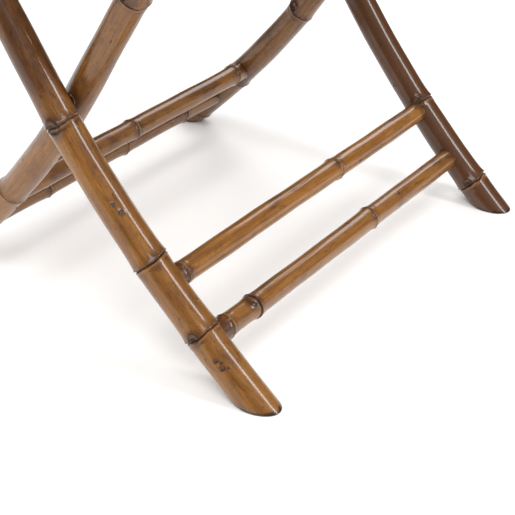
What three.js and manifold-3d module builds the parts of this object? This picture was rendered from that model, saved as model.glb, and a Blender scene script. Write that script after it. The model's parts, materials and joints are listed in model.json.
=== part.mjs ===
// Folding tray table in stained bamboo: a lift-off slatted tray on a scissor stand.
// Two bamboo frames cross on a pair of pivot bolts. The wider, outer frame has its feet
// at -Y and its top rail at +Y; the inner frame is its mirror image inside it.
// Millimetres, +Z up, origin on the floor under the middle of the table.
import * as THREE from 'three';
import { mergeVertices } from 'three/addons/utils/BufferGeometryUtils.js';
import Module from 'manifold-3d';

const wasm = await Module();
wasm.setup();

// ---- Stand -------------------------------------------------------------------------
const standWidth = 557;            // between the axes of the outer legs
const pivotHeight = 285.8;
const footSpread = 258.5;          // from the middle to each leg's axis at the floor
const legSlope = 0.6665;           // sideways run per unit of height, at and above the pivot
const topRailHeight = 550;
const legAboveRail = 15;           // how far a leg's axis rises past its top rail
const outerLegRadius = { foot: 20.6, top: 17.4 };
const innerLegRadius = { foot: 19.2, top: 16.2 };
const upperStretcherHeight = 113;
const lowerStretcherHeight = 59;
const stretcherRadius = 13.6;
const topRailRadius = 14;

// ---- Joinery -----------------------------------------------------------------------
const clearance = 0.3;             // gap between pieces that touch
const tenonRadius = 8;
const tenonPastAxis = 4;           // how far a tenon runs past its leg's axis
const pinRadius = 1.8;
const pinProud = 0.3;
const pivotGap = 1.8;              // between the outer and inner legs at the pivot
const boltRadius = 4;
const boltPastAxis = 3;
const boltHeadRadius = 7.5;
const boltHeadHeight = 4.5;
const boltCrownRadius = 5.2;
const washerRadius = 10;
const headWasherThickness = 1.5;
const insertRadius = 7;
const insertHalfLength = 7;

// ---- Tray --------------------------------------------------------------------------
const trayLength = 640;
const trayWidth = 440;
const rimRadius = 11.5;
const rimOverhang = 9;             // how far the long rims run past the end rims
const dowelRadius = 4;
const dowelLength = 26;
const slatCount = 12;
const slatGap = 2;
const slatThickness = 7;
const slatCrown = 1.2;
const bearerSpacing = 360;
const bearerWidth = 22;
const bearerHeight = 15;
const bearerInset = 15;            // from the tray's edge to the bearers' ends
const lugDrop = 13;                // how far the stop lugs hang outside the top rails
const lugThickness = 13;
const lugChamfer = 4;
const lugClearance = 1;
const handleSpan = 130;            // between the axes of a handle's two posts
const handleRise = 30;             // finger room under the handle bar
const handleBarRadius = 9;
const handleBarOverhang = 22;
const postRadius = 6;
const postSocketDepth = 6;

// ---- Bamboo poles ------------------------------------------------------------------
const ringSwell = 1.2;             // how far a growth ring stands out of its pole
const ringHalfLength = 5;
const endRounding = 2;
// No pole grows quite straight: how far each foot stands in from its pivot, and how the
// bend is shared out below it, where 1 would be a straight lean.
const footToeIn = { outer_left: 13, outer_right: 5, inner_left: 0, inner_right: 0 };
const toeInPower = 1.3;
const stationStep = 60;            // between cross-sections on a curved pole
const legSides = 16;
const poleSides = 12;
const roundSides = 12;
const floorOverrun = 30;           // how far a leg is made past the floor before it is cut

// Growth rings: heights above the pivot on the legs, and places along X or Y on the
// straight poles. The rings nearest the pivot stay clear of its washers.
const legRings = {
  outer_left: [-220, -152, -14, 166],
  outer_right: [-270, -167, -18, 150],
  inner_left: [-248, -161, -43, 132],
  inner_right: [-262, -188, -60, 118],
};
const stretcherRings = {
  outer_upper: [-250, 56],
  outer_lower: [-238, -190, 57],
  outer_top: [-120, 130],
  inner_upper: [-14, 205],
  inner_lower: [-132, 21, 149],
  inner_top: [-95, 110],
};
const longRimRings = { front: [-170, 40, 235], back: [-215, -30, 160] };
const endRimRings = { left: [-95, 120], right: [-120, 85] };
const handleBarRings = { left: [12], right: [-18] };

// ---- Derived places ----------------------------------------------------------------
const legBow = footSpread / pivotHeight - legSlope;
const legTop = topRailHeight + legAboveRail;
const topRailReach = legSlope * (topRailHeight - pivotHeight);
const outerLegX = standWidth / 2;
const innerLegX = outerLegX - legRadius(outerLegRadius, pivotHeight)
  - legRadius(innerLegRadius, pivotHeight) - pivotGap;
const bearerBase = topRailHeight + topRailRadius + ringSwell + clearance;
const deckBase = bearerBase + bearerHeight + clearance;
const deckTop = deckBase + slatThickness;
const rimHeight = deckTop + clearance + ringSwell + rimRadius;
const longRimY = trayWidth / 2 - rimRadius;
const endRimX = trayLength / 2 - rimOverhang - rimRadius;
const handleHeight = rimHeight + rimRadius + handleRise + handleBarRadius;

const sides = { left: -1, right: 1 };

// ---- Materials ---------------------------------------------------------------------
const bambooMaterial = () => new THREE.MeshStandardMaterial({
  color: 0x9a6630, roughness: 0.35, metalness: 0,
});
const darkBambooMaterial = () => new THREE.MeshStandardMaterial({
  color: 0x7d4f24, roughness: 0.38, metalness: 0,
});
const slatMaterial = () => new THREE.MeshStandardMaterial({
  color: 0xa87438, roughness: 0.42, metalness: 0,
});
const pinMaterial = () => new THREE.MeshStandardMaterial({
  color: 0x5a3a1e, roughness: 0.6, metalness: 0,
});
const boltMaterial = () => new THREE.MeshStandardMaterial({
  color: 0x6a5a40, roughness: 0.35, metalness: 0.9,
});

// ---- Solids and meshes -------------------------------------------------------------
function toSolid(geometry) {
  geometry.deleteAttribute('normal');
  geometry.deleteAttribute('uv');
  const merged = mergeVertices(geometry);
  const corners = Array.from(merged.index.array);
  const triVerts = [];
  for (let i = 0; i < corners.length; i += 3) {
    const [a, b, c] = corners.slice(i, i + 3);
    if (a !== b && b !== c && c !== a) triVerts.push(a, b, c);
  }
  return new wasm.Manifold(new wasm.Mesh({
    numProp: 3,
    vertProperties: new Float32Array(merged.attributes.position.array),
    triVerts: new Uint32Array(triVerts),
  }));
}

function toGeometry(solid) {
  const { vertProperties, triVerts } = solid.getMesh();
  const geometry = new THREE.BufferGeometry();
  geometry.setAttribute('position', new THREE.BufferAttribute(vertProperties, 3));
  geometry.setIndex(new THREE.BufferAttribute(triVerts, 1));
  geometry.computeVertexNormals();
  return geometry;
}

function place(name, solid, material, parent) {
  const mesh = new THREE.Mesh(toGeometry(solid), material);
  mesh.name = name;
  parent.add(mesh);
}

function rod(from, to, radius, segments = roundSides) {
  const axis = new THREE.Vector3().subVectors(to, from);
  const geometry = new THREE.CylinderGeometry(radius, radius, axis.length(), segments);
  const up = new THREE.Vector3(0, 1, 0);
  const turn = new THREE.Quaternion().setFromUnitVectors(up, axis.clone().normalize());
  geometry.applyQuaternion(turn);
  const middle = new THREE.Vector3().addVectors(from, to).multiplyScalar(0.5);
  geometry.translate(middle.x, middle.y, middle.z);
  return toSolid(geometry);
}

// ---- Bamboo ------------------------------------------------------------------------
// A leg's axis: straight above the pivot, bowed outwards below it. It runs past the
// floor, where the foot is cut level.
class LegCurve extends THREE.Curve {
  constructor(x, direction, toeIn) {
    super();
    this.x = x;
    this.direction = direction;
    this.toeIn = toeIn;
  }

  getPoint(t, target = new THREE.Vector3()) {
    const z = THREE.MathUtils.lerp(-floorOverrun, legTop, t);
    const drop = pivotHeight - z;
    const bow = drop > 0 ? legBow * drop * drop / pivotHeight : 0;
    const toeIn = this.toeIn * (Math.max(drop, 0) / pivotHeight) ** toeInPower;
    const x = this.x - Math.sign(this.x) * toeIn;
    return target.set(x, this.direction * (legSlope * drop + bow), z);
  }

  parameterAtHeight(z) {
    return (z + floorOverrun) / (legTop + floorOverrun);
  }

  distanceAtHeight(z) {
    const divisions = 400;
    return this.getLengths(divisions)[Math.round(this.parameterAtHeight(z) * divisions)];
  }
}

function legRadius(radius, z) {
  return THREE.MathUtils.lerp(radius.foot, radius.top, z / topRailHeight);
}

// A pole along a curve: a turned profile with a swelling at each growth ring and
// rounded ends, bent so that its axis follows the curve.
function pole(curve, radiusAt, rings, segments) {
  const length = curve.getLength();
  const nearRing = (s) => rings.some((ring) => Math.abs(s - ring) < 2 * ringHalfLength);
  const stations = [{ s: endRounding, swell: 0 }, { s: length - endRounding, swell: 0 }];
  const steps = curve.isLineCurve3 ? 1 : Math.round(length / stationStep);
  for (let i = 1; i < steps; i += 1) {
    const s = length * i / steps;
    if (!nearRing(s)) stations.push({ s, swell: 0 });
  }
  for (const ring of rings) {
    stations.push({ s: ring - ringHalfLength, swell: 0 });
    stations.push({ s: ring, swell: ringSwell });
    stations.push({ s: ring + ringHalfLength, swell: 0 });
  }
  stations.sort((a, b) => a.s - b.s);
  const radiusOf = (s) => radiusAt(curve.getPointAt(s / length));
  const profile = [
    new THREE.Vector2(0, 0),
    new THREE.Vector2(radiusOf(0) - endRounding, 0),
    ...stations.map(({ s, swell }) => new THREE.Vector2(radiusOf(s) + swell, s)),
    new THREE.Vector2(radiusOf(length) - endRounding, length),
    new THREE.Vector2(0, length),
  ];
  return bend(new THREE.LatheGeometry(profile, segments), curve, length);
}

function bend(geometry, curve, length) {
  const up = new THREE.Vector3(0, 1, 0);
  const turn = new THREE.Quaternion();
  const point = new THREE.Vector3();
  const position = geometry.attributes.position;
  for (let i = 0; i < position.count; i += 1) {
    point.fromBufferAttribute(position, i);
    const u = THREE.MathUtils.clamp(point.y / length, 0, 1);
    turn.setFromUnitVectors(up, curve.getTangentAt(u));
    point.setY(0).applyQuaternion(turn).add(curve.getPointAt(u));
    position.setXYZ(i, point.x, point.y, point.z);
  }
  return toSolid(geometry);
}

function straightPole(from, to, radius, rings, segments = poleSides) {
  return pole(new THREE.LineCurve3(from, to), () => radius, rings, segments);
}

// ---- Stand frames ------------------------------------------------------------------
// frame: its name, the direction in which its feet point along Y, its legs' place in X
// and their radii.
const outerFrame = { name: 'outer', direction: -1, legX: outerLegX, radius: outerLegRadius };
const innerFrame = { name: 'inner', direction: 1, legX: innerLegX, radius: innerLegRadius };

const railKinds = {
  upper: { suffix: 'upper_stretcher', height: upperStretcherHeight, radius: stretcherRadius },
  lower: { suffix: 'lower_stretcher', height: lowerStretcherHeight, radius: stretcherRadius },
  top: { suffix: 'top_rail', height: topRailHeight, radius: topRailRadius },
};

function legAxis(frame, side) {
  const toeIn = footToeIn[`${frame.name}_${side}`];
  return new LegCurve(sides[side] * frame.legX, frame.direction, toeIn);
}

function legPoint(frame, side, z) {
  const curve = legAxis(frame, side);
  return curve.getPoint(curve.parameterAtHeight(z));
}

function legPole(frame, side, growth) {
  const curve = legAxis(frame, side);
  const rings = legRings[`${frame.name}_${side}`]
    .map((z) => pivotHeight + z)
    .filter((z) => z > 0 && z < topRailHeight)
    .map((z) => curve.distanceAtHeight(z));
  return pole(curve, (point) => legRadius(frame.radius, point.z) + growth, rings, legSides);
}

function belowFloor() {
  const size = 2 * footSpread;
  const geometry = new THREE.BoxGeometry(2 * standWidth, 2 * size, size);
  geometry.translate(0, 0, -size / 2);
  return toSolid(geometry);
}

// A tenon, or with growth its socket, from inside the rail to past the leg's axis.
function tenon(frame, side, kind, growth) {
  const axis = legPoint(frame, side, kind.height);
  const inward = -sides[side];
  const root = axis.clone();
  root.x += inward * (legRadius(frame.radius, kind.height) + kind.radius);
  const tip = axis.clone();
  tip.x -= inward * (tenonPastAxis + growth);
  return rod(root, tip, tenonRadius + growth);
}

// A pin's line: square to the leg, from its under side up through the tenon.
function pinLine(frame, side, kind) {
  const curve = legAxis(frame, side);
  const t = curve.parameterAtHeight(kind.height);
  const axis = curve.getPoint(t);
  const along = curve.getTangent(t);
  const under = new THREE.Vector3(frame.direction, 0, 0).cross(along);
  return { axis, under };
}

function pin(frame, side, kind, growth, proud) {
  const { axis, under } = pinLine(frame, side, kind);
  const reach = legRadius(frame.radius, kind.height) + proud;
  const inner = axis.clone().addScaledVector(under, -(tenonRadius / 2 + growth));
  const head = axis.clone().addScaledVector(under, reach);
  return rod(inner, head, pinRadius + growth);
}

function pinHole(frame, side, kind) {
  return pin(frame, side, kind, clearance, legRadius(frame.radius, kind.height));
}

function pivotRod(side, fromX, toX, radius) {
  const from = new THREE.Vector3(sides[side] * fromX, 0, pivotHeight);
  const to = new THREE.Vector3(sides[side] * toX, 0, pivotHeight);
  return rod(from, to, radius);
}

const outerLegFace = outerLegX - legRadius(outerLegRadius, pivotHeight);
const innerLegFace = innerLegX - legRadius(innerLegRadius, pivotHeight);

function pivotBore(frame, side) {
  if (frame === innerFrame) {
    return pivotRod(side, innerLegFace - headWasherThickness, outerLegX, boltRadius + clearance);
  }
  const end = outerLegX + insertHalfLength + clearance;
  return pivotRod(side, outerLegFace - pivotGap, end, insertRadius + clearance);
}

function leg(frame, side) {
  let solid = legPole(frame, side, 0).subtract(belowFloor());
  solid = solid.subtract(pivotBore(frame, side));
  for (const kind of Object.values(railKinds)) {
    solid = solid.subtract(tenon(frame, side, kind, clearance));
    solid = solid.subtract(pinHole(frame, side, kind));
  }
  return solid;
}

// A rail between two legs: its ends are coped to the legs and carry tenons.
function rail(frame, kindName) {
  const kind = railKinds[kindName];
  const from = legPoint(frame, 'left', kind.height);
  const to = legPoint(frame, 'right', kind.height);
  const rings = stretcherRings[`${frame.name}_${kindName}`].map((x) => x - from.x);
  let solid = straightPole(from, to, kind.radius, rings);
  for (const side of Object.keys(sides)) {
    solid = solid.subtract(legPole(frame, side, clearance));
    solid = solid.add(tenon(frame, side, kind, 0));
    solid = solid.subtract(pinHole(frame, side, kind));
  }
  return solid;
}

function standFrame(frame) {
  const group = new THREE.Group();
  for (const side of Object.keys(sides)) {
    place(`${frame.name}_leg_${side}`, leg(frame, side), bambooMaterial(), group);
  }
  for (const [kindName, kind] of Object.entries(railKinds)) {
    place(`${frame.name}_${kind.suffix}`, rail(frame, kindName), bambooMaterial(), group);
    for (const side of Object.keys(sides)) {
      const peg = pin(frame, side, kind, 0, pinProud);
      place(`${frame.name}_${kindName}_pin_${side}`, peg, pinMaterial(), group);
    }
  }
  return group;
}

// ---- Pivots ------------------------------------------------------------------------
// Each bolt enters from inside the stand, turns in the inner leg and is screwed into a
// threaded insert sunk in the outer leg, so nothing shows outside.
const washerFace = innerLegFace - clearance;
const headFace = washerFace - headWasherThickness - clearance;

function washer(side, fromX, toX) {
  const disc = pivotRod(side, fromX, toX, washerRadius);
  return disc.subtract(pivotRod(side, fromX - 1, toX + 1, boltRadius + clearance));
}

function pivotBolt(side) {
  const shank = pivotRod(side, headFace - 1, outerLegX + boltPastAxis, boltRadius);
  const head = new THREE.CylinderGeometry(
    boltCrownRadius, boltHeadRadius, boltHeadHeight, roundSides,
  );
  head.rotateZ(sides[side] * Math.PI / 2);
  head.translate(sides[side] * (headFace - boltHeadHeight / 2), 0, pivotHeight);
  return shank.add(toSolid(head));
}

function threadedInsert(side) {
  const from = outerLegX - insertHalfLength;
  const to = outerLegX + insertHalfLength;
  const sleeve = pivotRod(side, from, to, insertRadius);
  return sleeve.subtract(pivotRod(side, from - 1, to + 1, boltRadius + clearance));
}

function pivots() {
  const group = new THREE.Group();
  for (const side of Object.keys(sides)) {
    const spacerFrom = outerLegFace - pivotGap + clearance;
    const spacer = washer(side, spacerFrom, outerLegFace - clearance);
    const headWasher = washer(side, washerFace - headWasherThickness, washerFace);
    place(`pivot_bolt_${side}`, pivotBolt(side), boltMaterial(), group);
    place(`pivot_insert_${side}`, threadedInsert(side), boltMaterial(), group);
    place(`pivot_spacer_${side}`, spacer, boltMaterial(), group);
    place(`pivot_washer_${side}`, headWasher, boltMaterial(), group);
  }
  return group;
}

// ---- Tray --------------------------------------------------------------------------
// A bearer runs under every slat and across both top rails. Its lugs hang outside the
// rails, so that the tray keeps the stand from spreading and lifts straight off.
function bearer(side) {
  const inner = topRailReach + topRailRadius + ringSwell + lugClearance;
  const outer = inner + lugThickness;
  const end = Math.max(outer, trayWidth / 2 - bearerInset);
  const outline = new THREE.Shape();
  outline.moveTo(-inner, 0);
  outline.lineTo(-inner, -lugDrop);
  outline.lineTo(-outer + lugChamfer, -lugDrop);
  outline.lineTo(-outer, -lugDrop + lugChamfer);
  outline.lineTo(-outer, 0);
  outline.lineTo(-end, 0);
  outline.lineTo(-end, bearerHeight);
  outline.lineTo(end, bearerHeight);
  outline.lineTo(end, 0);
  outline.lineTo(outer, 0);
  outline.lineTo(outer, -lugDrop + lugChamfer);
  outline.lineTo(outer - lugChamfer, -lugDrop);
  outline.lineTo(inner, -lugDrop);
  outline.lineTo(inner, 0);
  const geometry = new THREE.ExtrudeGeometry(outline, { depth: bearerWidth, bevelEnabled: false });
  geometry.rotateX(Math.PI / 2);
  geometry.rotateZ(Math.PI / 2);
  const x = sides[side] * bearerSpacing / 2;
  geometry.translate(x - bearerWidth / 2, 0, bearerBase);
  return toSolid(geometry);
}

// A slat of split bamboo: flat below, with a slight crown on top.
function slat(index) {
  const pitch = trayWidth / slatCount;
  const half = (pitch - slatGap) / 2;
  const y = (index - (slatCount - 1) / 2) * pitch;
  const outline = new THREE.Shape();
  outline.moveTo(-half, 0);
  outline.lineTo(half, 0);
  outline.lineTo(half, slatThickness - slatCrown);
  outline.quadraticCurveTo(0, slatThickness + slatCrown, -half, slatThickness - slatCrown);
  const length = trayLength - 2 * rimOverhang;
  const geometry = new THREE.ExtrudeGeometry(outline, {
    depth: length, bevelEnabled: false, curveSegments: 6,
  });
  geometry.rotateX(Math.PI / 2);
  geometry.rotateZ(Math.PI / 2);
  geometry.translate(-length / 2, y, deckBase);
  return toSolid(geometry);
}

const rimY = { front: -longRimY, back: longRimY };

function longRimPole(end, growth) {
  const from = new THREE.Vector3(-trayLength / 2, rimY[end], rimHeight);
  const to = new THREE.Vector3(trayLength / 2, rimY[end], rimHeight);
  const rings = longRimRings[end].map((x) => x + trayLength / 2);
  return straightPole(from, to, rimRadius + growth, rings);
}

function cornerDowel(side, end, growth) {
  const inward = -Math.sign(rimY[end]);
  const x = sides[side] * endRimX;
  const outer = rimY[end] - inward * (rimRadius / 2 + growth);
  const inner = outer + inward * (dowelLength + 2 * growth);
  const from = new THREE.Vector3(x, outer, rimHeight);
  const to = new THREE.Vector3(x, inner, rimHeight);
  return rod(from, to, dowelRadius + growth);
}

function longRim(end) {
  let solid = longRimPole(end, 0);
  for (const side of Object.keys(sides)) {
    solid = solid.subtract(cornerDowel(side, end, clearance));
  }
  return solid;
}

function handlePost(side, y, growth) {
  const x = sides[side] * endRimX;
  const bottom = rimHeight + rimRadius - postSocketDepth - growth;
  const top = handleHeight - handleBarRadius + postSocketDepth + growth;
  const from = new THREE.Vector3(x, y, bottom);
  const to = new THREE.Vector3(x, y, top);
  return rod(from, to, postRadius + growth, poleSides);
}

const postY = { front: -handleSpan / 2, back: handleSpan / 2 };

// An end rim is coped to the two long rims, doweled to them, and carries the posts.
function endRim(side) {
  const x = sides[side] * endRimX;
  const from = new THREE.Vector3(x, -longRimY, rimHeight);
  const to = new THREE.Vector3(x, longRimY, rimHeight);
  const rings = endRimRings[side].map((y) => y + longRimY);
  let solid = straightPole(from, to, rimRadius, rings);
  for (const end of Object.keys(rimY)) {
    solid = solid.subtract(longRimPole(end, clearance));
    solid = solid.subtract(cornerDowel(side, end, clearance));
    solid = solid.subtract(handlePost(side, postY[end], clearance));
  }
  return solid;
}

function handleBar(side) {
  const x = sides[side] * endRimX;
  const half = handleSpan / 2 + handleBarOverhang;
  const from = new THREE.Vector3(x, -half, handleHeight);
  const to = new THREE.Vector3(x, half, handleHeight);
  const rings = handleBarRings[side].map((y) => y + half);
  let solid = straightPole(from, to, handleBarRadius, rings);
  for (const y of Object.values(postY)) {
    solid = solid.subtract(handlePost(side, y, clearance));
  }
  return solid;
}

function tray() {
  const group = new THREE.Group();
  for (const side of Object.keys(sides)) {
    place(`tray_bearer_${side}`, bearer(side), darkBambooMaterial(), group);
    place(`tray_rim_${side}`, endRim(side), bambooMaterial(), group);
    place(`handle_bar_${side}`, handleBar(side), bambooMaterial(), group);
    for (const [end, y] of Object.entries(postY)) {
      place(`handle_post_${side}_${end}`, handlePost(side, y, 0), darkBambooMaterial(), group);
      place(`rim_dowel_${side}_${end}`, cornerDowel(side, end, 0), pinMaterial(), group);
    }
  }
  for (const end of Object.keys(rimY)) {
    place(`tray_rim_${end}`, longRim(end), bambooMaterial(), group);
  }
  for (let index = 0; index < slatCount; index += 1) {
    const number = String(index + 1).padStart(2, '0');
    place(`tray_slat_${number}`, slat(index), slatMaterial(), group);
  }
  return group;
}

// ---- Table -------------------------------------------------------------------------
const table = new THREE.Group();
table.add(standFrame(outerFrame), standFrame(innerFrame), pivots(), tray());

export default table;
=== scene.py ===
"""Folding bamboo tray table: the looks of the stand and the tray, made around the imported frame."""
import json
import math

import bmesh
import bpy
import numpy as np
from mathutils import Matrix, Vector

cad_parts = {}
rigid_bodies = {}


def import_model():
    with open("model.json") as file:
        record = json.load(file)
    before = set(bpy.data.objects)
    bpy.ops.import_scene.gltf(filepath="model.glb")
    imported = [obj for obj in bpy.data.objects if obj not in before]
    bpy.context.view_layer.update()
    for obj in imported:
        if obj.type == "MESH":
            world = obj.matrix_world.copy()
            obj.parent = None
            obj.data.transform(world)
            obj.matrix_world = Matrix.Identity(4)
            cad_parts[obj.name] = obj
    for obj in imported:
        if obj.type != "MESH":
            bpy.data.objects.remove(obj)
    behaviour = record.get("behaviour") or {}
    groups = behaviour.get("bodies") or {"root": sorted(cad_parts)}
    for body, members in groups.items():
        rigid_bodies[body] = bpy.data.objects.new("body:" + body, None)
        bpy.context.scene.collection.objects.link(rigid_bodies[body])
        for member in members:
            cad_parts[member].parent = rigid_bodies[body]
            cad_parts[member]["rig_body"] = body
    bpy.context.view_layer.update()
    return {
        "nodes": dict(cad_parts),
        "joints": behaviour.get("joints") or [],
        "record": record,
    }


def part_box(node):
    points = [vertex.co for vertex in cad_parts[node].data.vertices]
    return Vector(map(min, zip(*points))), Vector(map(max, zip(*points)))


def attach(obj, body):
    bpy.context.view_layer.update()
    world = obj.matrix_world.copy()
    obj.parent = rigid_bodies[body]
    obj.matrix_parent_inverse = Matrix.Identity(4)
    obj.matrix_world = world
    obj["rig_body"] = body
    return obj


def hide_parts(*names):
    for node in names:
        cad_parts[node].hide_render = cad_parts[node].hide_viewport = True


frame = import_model()

bl_info = {
    "name": "Bamboo Folding Tray Table",
    "version": (1, 0, 0),
    "blender": (4, 5, 0),
    "location": "View3D > Sidebar > Tray Table",
    "description": "Builds the bamboo poles, tray and fittings of a folding tray table",
    "category": "Object",
}

MM = 0.001
SIDES = {"left": -1, "right": 1}
FOLD = next(joint for joint in frame["joints"] if joint["name"] == "fold")
PIVOT_HEIGHT = FOLD["pos_m"][2]
FEET = {mount["name"]: mount["pos_m"] for mount in frame["record"]["mounts"]}

# How a foot's bend inwards is shared out below its pivot, where 1 would be a straight lean.
TOE_IN_POWER = 1.3


# ----------------------------------------
# Settings: the sizes and colours that a user would change
# ----------------------------------------

def length_setting(name, description, default_mm):
    """A length in metres, given here in millimetres."""
    return bpy.props.FloatProperty(
        name=name, description=description, default=default_mm * MM, unit="LENGTH", precision=5
    )


def colour_setting(name, description, default):
    """A colour, given as linear red, green and blue."""
    return bpy.props.FloatVectorProperty(
        name=name, description=description, default=default, subtype="COLOR", size=3, min=0, max=1
    )


class StandSettings(bpy.types.PropertyGroup):
    """Radii of the stand's poles"""

    outer_foot: length_setting("Outer Foot Radius", "Outer leg's radius at the floor", 20.6)
    outer_top: length_setting("Outer Top Radius", "Outer leg's radius at its top rail", 17.4)
    inner_foot: length_setting("Inner Foot Radius", "Inner leg's radius at the floor", 19.2)
    inner_top: length_setting("Inner Top Radius", "Inner leg's radius at its top rail", 16.2)
    above_rail: length_setting("Leg Above Rail", "How far a leg runs on above its top rail", 15.0)
    stretcher: length_setting("Stretcher Radius", "Radius of the four stretchers", 13.6)
    top_rail: length_setting("Top Rail Radius", "Radius of the two top rails", 14.0)
    rim: length_setting("Rim Radius", "Radius of the tray's rim poles", 11.5)
    handle: length_setting("Handle Radius", "Radius of the handle bars", 9.0)
    post: length_setting("Post Radius", "Radius of the handle posts", 6.0)


class BambooSettings(bpy.types.PropertyGroup):
    """Relief of the bamboo's growth rings and branch scars"""

    flare: length_setting("Ring Flare", "How far a pole flares towards a growth ring", 1.5)
    lip: length_setting("Ring Lip", "Height of the thin lip beside the groove", 0.6)
    groove: length_setting("Groove Depth", "Depth of the groove at a growth ring", 1.7)
    scar: length_setting("Scar Relief", "Height of the rim round a branch scar", 0.9)
    full_relief: length_setting("Full Relief", "Thinner poles have shallower rings than this", 13.5)
    wall: length_setting("Wall", "Thickness of the bamboo at a cut end", 4.5)
    edge: length_setting("Edge Rounding", "Rounding of a cut end", 2.2)


class FinishSettings(bpy.types.PropertyGroup):
    """Colours of the stained and lacquered bamboo"""

    honey: colour_setting("Honey", "Lightest bamboo under the stain", (0.33, 0.14, 0.019))
    amber: colour_setting("Amber", "Usual colour of the stained bamboo", (0.222, 0.084, 0.010))
    umber: colour_setting("Umber", "Where the stain is darkest", (0.073, 0.024, 0.005))
    char: colour_setting("Char", "Grooves, scars and cut ends", (0.014, 0.006, 0.003))
    bronze: colour_setting("Bronze", "Pivot bolts and washers", (0.2, 0.14, 0.08))


class DeckSettings(bpy.types.PropertyGroup):
    """The tray's slats and nails"""

    slats: bpy.props.IntProperty(name="Slats", description="Number of slats", default=12, min=1)
    slat_edge: length_setting("Slat Edge", "Rounding of a slat's long edges", 1.1)
    slat_crown: length_setting("Slat Crown", "How far a slat's middle stands above its edges", 1.2)
    slat_ridge: length_setting("Slat Ridge", "Height of the growth-ring marks on a slat", 0.35)
    nail: length_setting("Nail Radius", "Radius of the nail heads", 1.7)


class PivotSettings(bpy.types.PropertyGroup):
    """The pivot bolts"""

    head_radius: length_setting("Head Radius", "Radius of a bolt's head", 7.5)
    head_height: length_setting("Head Height", "Height of a bolt's head", 4.5)
    shank_radius: length_setting("Shank Radius", "Radius of a bolt's shank", 4.0)
    socket: length_setting("Socket", "Radius of the hexagonal socket, to its corners", 2.9)


class StageSettings(bpy.types.PropertyGroup):
    """Floor, light and camera"""

    floor: colour_setting("Floor", "Colour of the plain floor", (0.86, 0.855, 0.845))
    lens: bpy.props.FloatProperty(
        name="Lens", description="Focal length in millimetres", default=85.57, min=20, max=300
    )
    camera_place: bpy.props.FloatVectorProperty(
        name="Camera Place", description="Where the camera stands",
        default=(-1.0982, -0.8823, 0.8482), subtype="TRANSLATION", unit="LENGTH", size=3,
    )
    camera_heading: bpy.props.FloatProperty(
        name="Heading", description="Camera's heading from +X towards +Y",
        default=math.radians(36.81), subtype="ANGLE",
    )
    camera_tilt: bpy.props.FloatProperty(
        name="Tilt", description="How far the camera looks down",
        default=math.radians(32.39), subtype="ANGLE",
    )
    surroundings: bpy.props.FloatProperty(
        name="Surroundings", description="Strength of the even white light from all round",
        default=0.9, min=0,
    )


# ----------------------------------------
# Paths that the poles follow
# ----------------------------------------

class StraightPath:
    """A straight axis between two points."""

    def __init__(self, start, end):
        self.start = np.array(start, float)
        run = np.array(end, float) - self.start
        self.length = float(np.linalg.norm(run))
        self.along = run / self.length
        is_upright = abs(self.along[2]) >= 0.9
        reference = np.array((0.0, 1.0, 0.0) if is_upright else (0.0, 0.0, 1.0))
        self.across = np.cross(reference, self.along)
        self.across /= np.linalg.norm(self.across)
        self.third = np.cross(self.along, self.across)

    def place(self, x, y, s):
        """Points at x and y across the axis and s along it."""
        across = np.outer(x, self.across) + np.outer(y, self.third)
        return self.start + np.outer(s, self.along) + across


# Points at which a leg's axis is measured, and how far below the floor they start.
AXIS_POINTS = 1500
AXIS_BELOW_FLOOR = 60 * MM
# How far up a leg from the floor its end is drawn level with the floor.
FOOT_REACH = 46 * MM


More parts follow.
